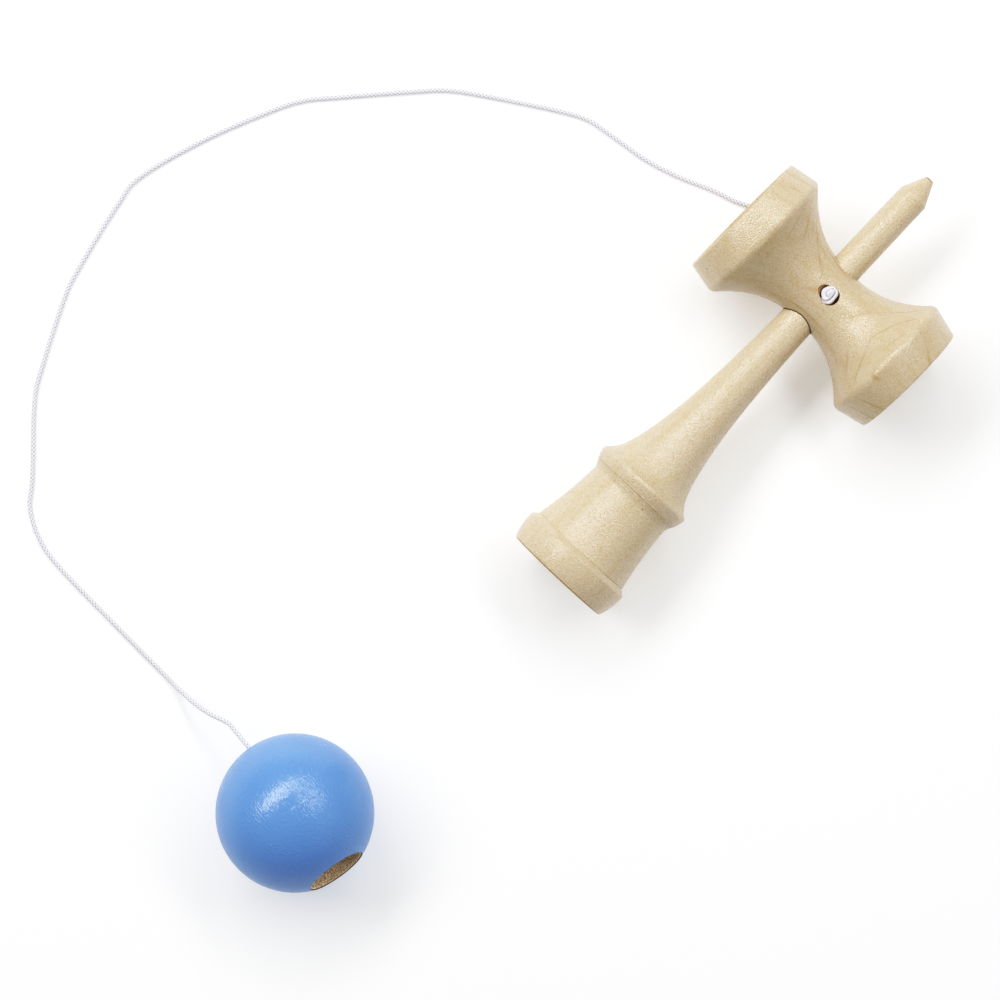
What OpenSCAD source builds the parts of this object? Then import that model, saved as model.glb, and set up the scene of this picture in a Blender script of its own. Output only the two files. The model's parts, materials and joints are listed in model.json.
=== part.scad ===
// A cup and ball toy. A turned handle carries a cup at its base and a spike at its other end, a
// crosspiece with two more cups is pushed over the spike, and a holed ball hangs on a cord.
// The toy lies on a table: the handle runs along +X towards its spike, the larger cup of the
// crosspiece faces +Y, and the origin is on the table under the middle of the wooden pieces.

/* [Handle] */
// Length from the mouth of the base cup to the tip of the spike
handle_l = 160.9; // [152:0.1:176]
// Distance from the mouth of the base cup to the axis of the crosspiece
cross_at = 114.3; // [108:0.1:120]
// Outside diameter of the base cup at its mouth
base_mouth_d = 33.8; // [31:0.2:36]
// Largest diameter of the base cup's rim
base_rim_d = 36.8; // [36.4:0.2:40]
// Distance from the mouth to the rim's largest diameter
base_crest_at = 7.3; // [6:0.1:8.2]
// Length of the rim, up to its step
base_rim_l = 8.6; // [8.4:0.1:11]
// Length of the step behind the rim
base_step_l = 1.7; // [1:0.1:2.5]
// Diameter behind the step
base_neck_d = 33.4; // [30:0.2:35]
// Narrowest diameter behind the base cup
base_waist_d = 28.1; // [25:0.1:29.5]
// Distance from the mouth to the foot of the collar
collar_foot_at = 31.3; // [28:0.1:33]
// Distance from the mouth to the edge of the collar on the base cup's side
collar_low_at = 34.4; // [33.5:0.1:35.4]
// Diameter at that edge
collar_low_d = 31.1; // [30:0.1:32]
// Distance from the mouth to the crest of the collar
collar_at = 36.5; // [36:0.1:37]
// Diameter over the crest of the collar, before its rounding
collar_d = 32.5; // [32:0.1:34]
// Radius that rounds the crest of the collar
collar_round = 4; // [2:0.1:4.5]
// Distance from the mouth to the edge of the collar on the grip's side
collar_top_at = 38.1; // [37.7:0.1:39]
// Diameter at that edge
collar_top_d = 31.9; // [30:0.1:32]
// Length over which the hollow behind the collar dies away
collar_hollow_l = 2.1; // [1.5:0.1:3]
// Distance from the mouth to where the grip's diameter is given
grip_at = 41.8; // [41:0.1:45]
// Diameter of the grip there, without the hollow behind the collar
grip_d = 24.8; // [22:0.1:27]
// Length over which the grip's flare dies away
grip_flare_l = 19; // [14:0.5:22]
// Diameter of the handle's taper at the axis of the crosspiece
cross_d = 10.05; // [10:0.05:11]
// Diameter of the spike
spike_d = 9.6; // [9:0.1:9.9]
// Length of the spike's point
tip_l = 7.4; // [6:0.1:12]
// Diameter of the spike's blunt end
tip_d = 2.7; // [1.8:0.1:4]

/* [Crosspiece] */
// Length over the mouths of the two cups
crosspiece_l = 69.7; // [66:0.1:78]
// Diameter at the waist
waist_d = 20.8; // [19.6:0.1:23]
// Diameter over the shoulder of the big cup, before its rounding
big_cup_d = 45.2; // [43.6:0.1:48]
// Diameter over the shoulder of the small cup, before its rounding
small_cup_d = 42.5; // [40:0.1:43.4]
// Distance from the middle of the waist to the shoulder of the big cup
big_cup_at = 25.3; // [23.5:0.1:27.5]
// Distance from the middle of the waist to the shoulder of the small cup
small_cup_at = 24.8; // [23:0.1:27]
// Outside diameter of the big cup at its mouth
big_mouth_d = 41.5; // [39:0.1:43]
// Outside diameter of the small cup at its mouth
small_mouth_d = 37.6; // [35:0.1:39]
// Radius that rounds the shoulders of the cups
shoulder_round = 2.5; // [1.5:0.1:3.5]
// How far the handle passes from the middle of the waist, towards the big cup
cross_shift = 1.35; // [0:0.05:2.4]
// How far the crosspiece is turned from square to the handle, its big cup towards the spike, in degrees
cross_turn = 1.5; // [0:0.1:3]
// Radial play of the handle in the crosspiece
handle_play = 0.1; // [0.05:0.01:0.2]

/* [Cups] */
// How much larger the radius of the dishes is than the ball's
cup_play = 0.5; // [0.2:0.1:2]
// Width of the lip around each dish
lip_w = 1.4; // [1:0.1:2.4]
// Radius that rounds the outer edge of each lip
lip_round = 0.7; // [0.2:0.1:0.9]

/* [Ball] */
// Diameter of the ball
ball_d = 47; // [45:0.5:56]
// Diameter of the hole that takes the spike
hole_d = 17.4; // [15:0.2:19]
// Width of the bevel around the mouth of the hole
hole_bevel = 0.5; // [0.2:0.1:1.2]
// Length of the hole's straight wall
hole_l = 25.6; // [20:0.2:26.6]
// Diameter of the bead's seat at the bottom of the hole
seat_d = 10; // [8.4:0.1:12]
// Length of the straight wall of the bead's seat
seat_l = 7; // [6.8:0.1:8]
// Half of the drill's point angle, in degrees
drill_angle = 59; // [55:1:65]
// Place of the ball's middle along the handle, from the axis of the crosspiece
ball_x = -218.3; // [-240:0.1:-160]
// Place of the ball's middle across the handle, from the handle's axis
ball_y = 8.7; // [0:0.1:12]
// Heading of the hole's mouth over the table, in degrees from +X
ball_heading = -100; // [-115:1:-90]
// Tilt of the hole's mouth above the table, in degrees
ball_tilt = 15.2; // [5:0.1:25]

/* [Cord] */
// Diameter of the cord
cord_d = 1.5; // [1:0.1:1.8]
// Radial play of the cord in the holes of the wood
cord_play = 0.45; // [0.2:0.05:0.7]
// Place of the cord's hole through the waist, from the crossing axes towards the spike
cord_hole_x = 0.7; // [-1:0.1:1]
// Place of the cord's hole through the waist, from the crossing axes towards the big cup
cord_hole_y = -1.1; // [-2:0.1:1]
// Diameter of the knot that stops the cord on the crosspiece
knot_d = 5.3; // [4.5:0.1:6]
// Height of that knot
knot_h = 3.4; // [2.5:0.1:4.5]
// Radial play of that knot in its hole
knot_play = 0.4; // [0.1:0.1:0.8]
// Wood left between the seat of that knot and the handle
knot_wall = 1.6; // [1:0.1:2.4]
// Diameter of the bead inside the ball
bead_d = 7.2; // [6.4:0.1:7.6]
// Radial play of the cord in the bead
bead_play = 0.1; // [0.05:0.05:0.3]
// Gap between the bead and its seat
bead_gap = 0.3; // [0.2:0.05:0.6]
// Diameter of the knot that holds the bead
end_knot_d = 4.6; // [4:0.1:6]
// Height of that knot
end_knot_h = 3; // [2:0.1:3.4]
// Half of the gap in the cord where it is free to turn
bend_gap = 0.4; // [0.3:0.05:0.5]

/* [Hidden] */
$fn = 96;

wood_colour = [0.87, 0.74, 0.55];
paint_colour = [0.31, 0.49, 0.79];
cord_colour = [0.93, 0.93, 0.95];

// Radii and lengths that follow from the sizes above
ball_r = ball_d / 2;
dish_r = ball_r + cup_play;
cord_r = cord_d / 2;
waist_r = waist_d / 2;
base_rim_r = base_rim_d / 2;
hair = 0.05;

// Flares of the crosspiece: its radius grows from the waist by a power of the distance
flare_power = 2.45;
big_flare = (big_cup_d - waist_d) / 2 / pow(big_cup_at, flare_power);
small_flare = (small_cup_d - waist_d) / 2 / pow(small_cup_at, flare_power);
flare_share = 0.92;
flare_steps = 22;

// Plane curves, as [radius, distance along the axis]
function unit(v) = v / norm(v);
function corner_half(p, q, n) = acos(unit(p - q) * unit(n - q)) / 2;
function corner_centre(p, q, n, r) =
    q + unit(unit(p - q) + unit(n - q)) * r / sin(corner_half(p, q, n));
function corner_arc(p, q, n, r, steps = 6) =
    let (centre = corner_centre(p, q, n, r))
    let (reach = r / tan(corner_half(p, q, n)))
    let (from = q + unit(p - q) * reach - centre)
    let (to = q + unit(n - q) * reach - centre)
    let (turn = acos(from * to / (r * r)))
    [for (i = [0:steps])
        centre + (from * sin((1 - i / steps) * turn) + to * sin(i / steps * turn)) / sin(turn)];

// Outline of the handle, from the mouth of the base cup to the tip
taper_end = cross_at + waist_r + 2;
function taper_d(s) = spike_d + (cross_d - spike_d) * (taper_end - s) / (taper_end - cross_at);
grip_flare = (grip_d - taper_d(grip_at)) / 2;
function flared_r(s) = taper_d(s) / 2 + grip_flare * exp(-(s - grip_at) / grip_flare_l);
collar_hollow = collar_top_d / 2 - flared_r(collar_top_at);
function grip_r(s) = s >= taper_end ? spike_d / 2
    : flared_r(s) + collar_hollow * exp(-(s - collar_top_at) / collar_hollow_l);
barrel_rise = base_rim_r - base_mouth_d / 2;
barrel_r = (pow(base_crest_at, 2) + pow(barrel_rise, 2)) / (2 * barrel_rise);
barrel_sweep = asin(base_crest_at / barrel_r);
barrel_steps = 6;
barrel = [for (i = [barrel_steps:-1:0])
    let (a = barrel_sweep * i / barrel_steps)
    [base_rim_r - barrel_r * (1 - cos(a)), base_crest_at - barrel_r * sin(a)]];
rim_round = 0.8;
rim_end = [base_rim_r, base_rim_l];
neck_start = [base_neck_d / 2, base_rim_l + base_step_l];
neck_steps = 8;
neck_power = 1.6;
neck = [for (i = [0:neck_steps])
    let (left = 1 - i / neck_steps)
    [(base_waist_d + (base_neck_d - base_waist_d) * pow(left, neck_power)) / 2,
     collar_foot_at - (collar_foot_at - neck_start[1]) * left]];
collar_low = [collar_low_d / 2, collar_low_at];
collar_crest = [collar_d / 2, collar_at];
collar_top = [collar_top_d / 2, collar_top_at];
cove_steps = 4;
cove_power = 1.5;
cove = [for (i = [1:cove_steps])
    let (share = i / cove_steps)
    [base_waist_d / 2 + (collar_low[0] - base_waist_d / 2) * pow(share, cove_power),
     collar_foot_at + (collar_low_at - collar_foot_at) * share]];
grip_steps = 20;
grip_power = 1.7;
grip = [for (i = [0:grip_steps])
    let (s = taper_end - (taper_end - collar_top_at) * (1 - pow(i / grip_steps, grip_power)))
    [grip_r(s), s]];
spike_end = [spike_d / 2, handle_l - tip_l];
tip_edge = [tip_d / 2, handle_l];
handle_outline = concat(
    [[0, 0]],
    corner_arc([0, 0], barrel[0], barrel[1], lip_round, 4),
    [for (i = [1:barrel_steps]) barrel[i]],
    corner_arc(barrel[barrel_steps], rim_end, neck_start, rim_round, 4),
    neck,
    cove,
    corner_arc(collar_low, collar_crest, collar_top, collar_round),
    grip,
    corner_arc([spike_d / 2, taper_end], spike_end, tip_edge, spike_d / 6, 4),
    corner_arc(spike_end, tip_edge, [0, handle_l], tip_d / 3, 4),
    [[0, handle_l]]);

// Outline of the crosspiece, from the small cup to the big one
function flare_r(y) = waist_r + (y > 0 ? big_flare : small_flare) * pow(abs(y), flare_power);
half_l = crosspiece_l / 2;
small_mouth = [small_mouth_d / 2, -half_l];
small_shoulder = [small_cup_d / 2, -small_cup_at];
big_shoulder = [big_cup_d / 2, big_cup_at];
big_mouth = [big_mouth_d / 2, half_l];
flare = [for (i = [0:flare_steps])
    let (y = flare_share * (-small_cup_at + (small_cup_at + big_cup_at) * i / flare_steps))
    [flare_r(y), y]];
crosspiece_outline = concat(
    [[0, -half_l]],
    corner_arc([0, -half_l], small_mouth, small_shoulder, lip_round, 4),
    corner_arc(small_mouth, small_shoulder, flare[0], shoulder_round),
    flare,
    corner_arc(flare[flare_steps], big_shoulder, big_mouth, shoulder_round),
    corner_arc(big_shoulder, big_mouth, [0, half_l], lip_round, 4),
    [[0, half_l]]);

// Distance from a cup's mouth out to the middle of the sphere that hollows it
function dish_out(mouth_d) = sqrt(pow(dish_r, 2) - pow(mouth_d / 2 - lip_w, 2));

// How the toy lies: both cups and the base rim touch the table. The shoulders and the rim are
// round, so each touches where the middle of its rounding is one radius above the table.
big_round = corner_centre(flare[flare_steps], big_shoulder, big_mouth, shoulder_round);
small_round = corner_centre(small_mouth, small_shoulder, flare[0], shoulder_round);
big_reach = big_round[1] - cross_shift;
small_reach = cross_shift - small_round[1];
lean = atan((big_round[0] - small_round[0]) / (big_reach + small_reach));
axis_z = shoulder_round + big_round[0] * cos(lean) - big_reach * sin(lean);
base_round = [base_rim_r - barrel_r, cross_at - base_crest_at];
pitch = asin((axis_z - barrel_r) / norm(base_round)) - atan2(base_round[0], base_round[1]);
roll = asin((sin(lean) - sin(cross_turn) * sin(pitch)) / (cos(cross_turn) * cos(pitch)));

// Places of the toy and of the ball, from the point on the table under the crossing axes
function turned(p) =
    let (q = [p[0], p[1] * cos(roll) - p[2] * sin(roll), p[1] * sin(roll) + p[2] * cos(roll)])
    [q[0] * cos(pitch) - q[2] * sin(pitch), q[1], q[0] * sin(pitch) + q[2] * cos(pitch)];
function toy_point(p) = turned(p) + [0, 0, axis_z];
ball_at = [ball_x, ball_y, ball_r];
ball_axis = [cos(ball_tilt) * cos(ball_heading), cos(ball_tilt) * sin(ball_heading), sin(ball_tilt)];

// Middle of the box around the wooden pieces: the rounded lips of the cups reach furthest to the sides
cross_axis = turned([sin(cross_turn), cos(cross_turn), 0]);
lip_lean = sqrt(1 - pow(cross_axis[1], 2));
big_lip = corner_centre(big_shoulder, big_mouth, [0, half_l], lip_round);
small_lip = corner_centre(small_shoulder, small_mouth, [0, -half_l], lip_round);
big_end_y = (big_lip[1] - cross_shift) * cross_axis[1] + big_lip[0] * lip_lean + lip_round;
small_end_y = (small_lip[1] - cross_shift) * cross_axis[1] - small_lip[0] * lip_lean - lip_round;
tip_x = (handle_l - cross_at) * cos(pitch);
middle_x = (tip_x + ball_x - ball_r) / 2;
middle_y = (big_end_y + small_end_y) / 2;

module on_table() translate([-middle_x, -middle_y, 0]) children();
module in_toy() on_table() translate([0, 0, axis_z]) rotate([0, -pitch, 0]) rotate([roll, 0, 0]) children();
module in_ball() on_table() translate(ball_at) rotate([0, 90 - ball_tilt, ball_heading]) children();

// Heights inside the ball, from its middle towards the mouth of its hole
mouth_r = hole_d / 2 + hole_bevel;
mouth_z = sqrt(pow(ball_r, 2) - pow(mouth_r, 2));
hole_top = mouth_z - hole_bevel;
hole_end = hole_top - hole_l;
seat_top = hole_end - (hole_d - seat_d) / 2 / tan(drill_angle);
seat_end = seat_top - seat_l;
cord_hole_r = cord_r + cord_play;
drill_end = seat_end - (seat_d / 2 - cord_hole_r) / tan(drill_angle);
bead_z = seat_end - seat_d / 2 / tan(drill_angle) + bead_d / 2 / sin(drill_angle) + bead_gap;
end_knot_z = bead_z + bead_d / 2 + hair;
over = 1;

// Heights in the crosspiece, from its axis up to the stopper knot and down to the cord's way out
bore_x = waist_r + 3;
bore_in_r = grip_r(cross_at - bore_x) + handle_play;
bore_out_r = grip_r(cross_at + bore_x) + handle_play;
knot_seat_z = (bore_in_r + bore_out_r) / 2 + knot_wall;
knot_z = knot_seat_z + hair;
cord_out = 0.5;
cord_exit_z = -waist_r - cord_out;

// Route of the cord's middle, from the point on the table under the crossing axes
lie = cord_r + hair;
cord_fall = 2.5;
ball_lead = 1.8;
cord_exit = toy_point([cord_hole_x, cord_hole_y, cord_exit_z]);
cord_drop = toy_point([cord_hole_x, cord_hole_y, cord_exit_z - cord_fall]);
bend_at = [5, 37, lie];
bend_way = unit([-0.39, 0.92, 0]);
ball_exit = ball_at - ball_r * ball_axis;
lead_route = concat(
    [cord_exit, cord_drop],
    [[1.9, 0.8, 4.4], [3.2, 4, 1.7], [4.9, 8, lie], [7.2, 13.5, lie], [8.9, 19, lie], [9.4, 25, lie],
     [8, 31, lie]],
    [bend_at - bend_gap * bend_way]);
free_route = concat(
    [bend_at + bend_gap * bend_way],
    [[2.4, 45.2, lie], [-1.6, 55.3, lie], [-4.6, 65.8, lie], [-6.1, 76.5, lie], [-7.9, 87.1, lie],
     [-12.8, 96.8, lie], [-24.2, 115.2, lie], [-30.4, 124, lie], [-38.2, 131.7, lie], [-54.2, 146.3, lie],
     [-62.4, 153.5, lie], [-71.9, 158.7, lie], [-91.9, 167.3, lie], [-112.6, 173.5, lie],
     [-123.4, 172.8, lie], [-144.6, 168.4, lie], [-155, 165.2, lie], [-174.7, 155.9, lie],
     [-184, 150.3, lie], [-200.2, 135.9, lie], [-208.6, 129, lie], [-213.6, 119.4, lie],
     [-215.3, 108.8, lie], [-216.3, 87.1, lie], [-217.1, 66, lie], [-217.2, 59, 2.2], [-216.7, 52.8, 5.8],
     [-215.5, 47.2, 9.6], [-214, 43.1, 12.2], [-213.4, 40.7, 13.4], [-213.6, 38.2, 14.5],
     [-213.9, 34.9, 15.9]],
    [ball_exit - ball_lead * ball_axis, ball_exit - bend_gap * ball_axis]);

// A smooth curve through the points of a route, kept above the table
route_steps = 2;
function curve(a, b, c, d, t) = (2 * b + (c - a) * t + (2 * a - 5 * b + 4 * c - d) * t * t
    + (3 * b - a - 3 * c + d) * t * t * t) / 2;
function above(p) = [p[0], p[1], max(p[2], lie)];
function smooth(p) = let (last = len(p) - 1) concat(
    [for (i = [0:last - 1], k = [0:route_steps - 1])
        above(curve(p[max(i - 1, 0)], p[i], p[i + 1], p[min(i + 2, last)], k / route_steps))],
    [p[last]]);

// A cord of eight sides along a route; up is a direction that the route never takes
cord_sides = 8;
module cord_along(route, up) {
    p = smooth(route);
    last = len(p) - 1;
    n = cord_sides;
    rings = [for (i = [0:last])
        let (way = unit(p[min(i + 1, last)] - p[max(i - 1, 0)]))
        let (side = unit(cross(way, up)))
        let (rise = cross(side, way))
        for (k = [0:n - 1])
            p[i] + cord_r * (cos(360 * k / n) * side + sin(360 * k / n) * rise)];
    walls = [for (i = [0:last - 1], k = [0:n - 1])
        let (a = i * n + k)
        let (b = i * n + (k + 1) % n)
        each [[a, b, b + n], [a, b + n, a + n]]];
    start_face = [for (k = [1:n - 2]) [0, k + 1, k]];
    end_face = [for (k = [1:n - 2]) last * n * [1, 1, 1] + [0, k, k + 1]];
    polyhedron(points = rings, faces = concat(start_face, walls, end_face), convexity = 10);
}

// A round knot, flat where it bears on the wood or the bead
module knot(d, h) {
    low = -55;
    steps = 10;
    rotate_extrude()
        polygon(concat([[0, 0]],
            [for (i = [0:steps])
                let (a = low + (90 - low) * i / steps)
                [d / 2 * cos(a), h * (sin(a) - sin(low)) / (1 - sin(low))]]));
}

// The hole that the cord takes through the crosspiece and the handle
module at_cord_hole(z) translate([cord_hole_x, cord_hole_y, z]) children();
module cord_hole() at_cord_hole(0) cylinder(r = cord_hole_r, h = waist_d + 2 * over, center = true);

// The handle, turned in one piece
module handle() color(wood_colour) in_toy() difference() {
    rotate([0, 90, 0]) translate([0, 0, -cross_at]) difference() {
        rotate_extrude() polygon(handle_outline);
        translate([0, 0, -dish_out(base_mouth_d)]) sphere(r = dish_r);
    }
    cord_hole();
}

// The crosspiece, with a cup at each end, the handle's tapered bore and the seat of the knot
module crosspiece() color(wood_colour) in_toy() difference() {
    rotate([0, 0, -cross_turn]) translate([0, -cross_shift, 0]) rotate([-90, 0, 0]) difference() {
        rotate_extrude() polygon(crosspiece_outline);
        translate([0, 0, half_l + dish_out(big_mouth_d)]) sphere(r = dish_r);
        translate([0, 0, -half_l - dish_out(small_mouth_d)]) sphere(r = dish_r);
    }
    translate([-bore_x, 0, 0]) rotate([0, 90, 0]) cylinder(r1 = bore_in_r, r2 = bore_out_r, h = 2 * bore_x);
    at_cord_hole(knot_seat_z) cylinder(d = knot_d + 2 * knot_play, h = waist_r);
    cord_hole();
}

// The knot that stops the cord on top of the crosspiece
module stopper_knot() color(cord_colour) in_toy() at_cord_hole(knot_z) knot(knot_d, knot_h);

// The cord inside the crosspiece and the handle
module cord_in_handle() color(cord_colour) in_toy() at_cord_hole(cord_exit_z)
    cylinder(r = cord_r, h = knot_z - cord_exit_z);

// The cord from under the waist to the mouth of the big cup
module cord_lead() color(cord_colour) on_table() cord_along(lead_route, [1, 0, 0]);

// The cord from the big cup to the ball
module cord_free() color(cord_colour) on_table() cord_along(free_route, [0, 0, 1]);

// The cord inside the ball
module cord_in_ball() color(cord_colour) in_ball() translate([0, 0, bend_gap - ball_r])
    cylinder(r = cord_r, h = end_knot_z + ball_r - bend_gap);

// The bead that stops the cord inside the ball
module bead() color(wood_colour) in_ball() translate([0, 0, bead_z]) difference() {
    sphere(d = bead_d);
    cylinder(r = cord_r + bead_play, h = bead_d + 2 * over, center = true);
}

// The knot that holds the bead
module end_knot() color(cord_colour) in_ball() translate([0, 0, end_knot_z]) knot(end_knot_d, end_knot_h);

// The ball, with its hole, the bead's seat and the hole for the cord
module ball() color(paint_colour) in_ball() difference() {
    sphere(r = ball_r);
    rotate_extrude() polygon([
        [0, ball_r + over],
        [hole_d / 2 + ball_r + over - hole_top, ball_r + over],
        [hole_d / 2, hole_top],
        [hole_d / 2, hole_end],
        [seat_d / 2, seat_top],
        [seat_d / 2, seat_end],
        [cord_hole_r, drill_end],
        [cord_hole_r, -ball_r - over],
        [0, -ball_r - over]]);
}

handle();
crosspiece();
stopper_knot();
cord_in_handle();
cord_lead();
cord_free();
cord_in_ball();
bead();
end_knot();
ball();
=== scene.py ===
# %% [markdown]
# A cup and ball toy: a turned handle, a turned crosspiece, a painted ball and a thin braided cord.
# The CAD frame already holds where each piece is, how big it is and what moves. This lesson gives every
# piece the surface that a lathe, a drill, a spray gun or a braiding machine leaves, and then lights it.

# %% Load the frame
import json
import math

import bmesh
import bpy
import numpy as np
from mathutils import Matrix, Vector


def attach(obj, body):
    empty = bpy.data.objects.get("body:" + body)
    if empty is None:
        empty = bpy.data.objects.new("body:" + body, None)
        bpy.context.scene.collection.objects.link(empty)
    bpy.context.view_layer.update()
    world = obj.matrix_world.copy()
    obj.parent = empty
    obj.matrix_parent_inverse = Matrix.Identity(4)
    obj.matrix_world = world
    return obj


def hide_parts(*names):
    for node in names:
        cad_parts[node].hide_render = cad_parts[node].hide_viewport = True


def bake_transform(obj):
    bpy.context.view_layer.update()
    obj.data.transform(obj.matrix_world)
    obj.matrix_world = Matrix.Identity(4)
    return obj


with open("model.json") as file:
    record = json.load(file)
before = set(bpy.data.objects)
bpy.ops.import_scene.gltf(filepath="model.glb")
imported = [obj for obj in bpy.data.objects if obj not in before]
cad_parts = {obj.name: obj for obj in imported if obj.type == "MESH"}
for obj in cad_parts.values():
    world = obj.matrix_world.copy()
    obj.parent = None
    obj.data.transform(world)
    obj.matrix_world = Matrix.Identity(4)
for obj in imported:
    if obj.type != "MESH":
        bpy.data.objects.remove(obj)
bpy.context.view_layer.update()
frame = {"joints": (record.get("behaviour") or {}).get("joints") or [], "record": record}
MM = 0.001

# %% [markdown]
# Every piece is drawn in its own small frame and then placed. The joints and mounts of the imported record
# say where these frames are: the handle's axis is the axis of its spike, the base cup's lip says where the
# handle starts, and the ball turns about the axis of its hole. The few sizes given here repeat the CAD's.

# %% Places from the joints and mounts
joints = {joint["name"]: joint for joint in frame["joints"]}
mounts = {mount["name"]: mount for mount in frame["record"]["mounts"]}
ball_exit = Vector(joints["ball_swing"]["pos_m"])
ball_at = Vector(joints["ball_spin"]["pos_m"])
ball_axis = Vector(joints["ball_spin"]["axis"]).normalized()
handle_axis = Vector(mounts["spike"]["axis"]).normalized()
spike_at = Vector(mounts["spike"]["pos_m"])
lip_at = Vector(mounts["base_lip"]["pos_m"])
base_mouth = spike_at + handle_axis * (lip_at - spike_at).dot(handle_axis)

CROSS_AT = 114.3  # mm from the mouth of the base cup to the axis of the crosspiece
CROSS_SHIFT = 1.35  # mm by which the handle misses the middle of the crosspiece
CROSS_TURN = math.radians(1.5)  # the bore isn't quite square to the crosspiece
CORD_HOLE_AT = (0.7 * MM, -1.1 * MM, 0)  # where the cord goes through the waist, from the crossing axes
ROLL = math.radians(1.4924)  # the big cup lifts its side of the toy
crossing = base_mouth + handle_axis * CROSS_AT * MM
pitch = math.asin(handle_axis.z)
toy = Matrix.Translation(crossing) @ Matrix.Rotation(-pitch, 4, "Y") @ Matrix.Rotation(ROLL, 4, "X")
in_handle = toy @ Matrix.Translation((-CROSS_AT * MM, 0, 0))
across = Matrix.Rotation(math.radians(90), 4, "Z")
upright = Matrix.Rotation(math.radians(-90), 4, "Y")
crosspiece_middle = Matrix.Rotation(-CROSS_TURN, 4, "Z") @ Matrix.Translation((0, -CROSS_SHIFT * MM, 0))
in_crosspiece = toy @ crosspiece_middle @ across
in_waist = toy @ Matrix.Translation(CORD_HOLE_AT) @ upright
in_ball = Matrix.Translation(ball_at) @ ball_axis.to_track_quat("X", "Z").to_matrix().to_4x4()
print("Axes cross at, in mm:", [round(value / MM, 2) for value in crossing])

# %% [markdown]
# The photograph was taken from straight above, from far enough away that the toy shows no perspective
# worth the name. A long lens a good metre up gives the same view. The toy's handle runs to the upper
# right of the picture, so the camera is turned about its own axis.

# %% Camera
VIEW_TURN = math.radians(-46.805)
CAMERA_FROM_CROSSING = Vector((-0.10948, 0.02781, 0))  # metres along the table
CAMERA_HEIGHT = 1.1217  # metres
SENSOR = 36.0  # mm
SEEN_WIDTH = 0.29586  # metres across the picture, at the height of the handle's axis


def new_object(name, data):
    """A linked object of the scene that shows the data."""
    made = bpy.data.objects.new(name, data)
    bpy.context.scene.collection.objects.link(made)
    return made


camera_data = bpy.data.cameras.new("camera")
camera = new_object("camera", camera_data)
under_camera = Vector((crossing.x, crossing.y, 0)) + CAMERA_FROM_CROSSING
camera.location = under_camera + Vector((0, 0, CAMERA_HEIGHT))
camera.rotation_euler = (0, 0, VIEW_TURN)
camera_data.sensor_width = SENSOR
camera_data.lens = SENSOR * (CAMERA_HEIGHT - crossing.z) / SEEN_WIDTH
bpy.context.scene.camera = camera
picture_right = Vector((math.cos(VIEW_TURN), math.sin(VIEW_TURN), 0))
picture_up = Vector((-math.sin(VIEW_TURN), math.cos(VIEW_TURN), 0))
print("Lens in mm:", round(camera_data.lens, 1))

# %% [markdown]
# The cord is a soft braid 1.5 mm thick. It leaves the underside of the waist, lies on the table, goes
# under the big cup and runs round to the back of the ball. Its middle line repeats the route of the CAD,
# as points in millimetres from the spot on the table under the crossing axes. A curve with a bevel would
# be the quick way to a cord, but it would stay a smooth wire, so the braid gets a mesh of its own.

# %% Route of the cord
CORD_R = 0.75
LIE = 0.8  # height of the middle line where the cord lies on the table
WAIST_R = 10.4
EXIT_BELOW = 0.5  # the cord's first point, below the waist
EXIT_Z = -WAIST_R - EXIT_BELOW
DROP = 2.5  # straight down from there
BALL_LEAD = 1.8  # straight into the ball
under_crossing = Vector((crossing.x, crossing.y, 0)) / MM
LEAD = [(1.9, 0.8, 4.4), (3.2, 4, 1.7), (4.9, 8, LIE), (7.2, 13.5, LIE), (8.9, 19, LIE), (9.4, 25, LIE),
        (8, 31, LIE), (5, 37, LIE)]
FREE = [(2.4, 45.2, LIE), (-1.6, 55.3, LIE), (-4.6, 65.8, LIE), (-6.1, 76.5, LIE), (-7.9, 87.1, LIE),
        (-12.8, 96.8, LIE), (-24.2, 115.2, LIE), (-30.4, 124, LIE), (-38.2, 131.7, LIE),
        (-54.2, 146.3, LIE), (-62.4, 153.5, LIE), (-71.9, 158.7, LIE), (-91.9, 167.3, LIE),
        (-112.6, 173.5, LIE), (-123.4, 172.8, LIE), (-144.6, 168.4, LIE), (-155, 165.2, LIE),
        (-174.7, 155.9, LIE), (-184, 150.3, LIE), (-200.2, 135.9, LIE), (-208.6, 129, LIE),
        (-213.6, 119.4, LIE), (-215.3, 108.8, LIE), (-216.3, 87.1, LIE), (-217.1, 66, LIE),
        (-217.2, 59, 2.2), (-216.7, 52.8, 5.8), (-215.5, 47.2, 9.6), (-214, 43.1, 12.2),
        (-213.4, 40.7, 13.4), (-213.6, 38.2, 14.5), (-213.9, 34.9, 15.9)]
cord_exit = in_waist @ Vector((EXIT_Z * MM, 0, 0))
cord_drop = in_waist @ Vector(((EXIT_Z - DROP) * MM, 0, 0))
ball_approach = ball_exit - BALL_LEAD * MM * ball_axis
on_table = [Vector(point) + under_crossing for point in LEAD + FREE]
route = [cord_exit / MM, cord_drop / MM, *on_table, ball_approach / MM, ball_exit / MM]
print("Points of the route:", len(route))

# %% Smooth line along the route
BRAID_STEP = 0.18


def smooth_route(points, steps=24):
    """A smooth cubic curve through the points, kept above the table."""
    p = np.array([points[0], *points, points[-1]], float)
    t = np.linspace(0, 1, steps, endpoint=False)[:, None]
    spans = [
        (2 * b + (c - a) * t + (2 * a - 5 * b + 4 * c - d) * t**2 + (3 * b - a - 3 * c + d) * t**3) / 2
        for a, b, c, d in zip(p, p[1:], p[2:], p[3:])
    ]
    curve = np.vstack([*spans, p[-1:]])
    curve[:, 2] = np.maximum(curve[:, 2], LIE)
    return curve


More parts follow.
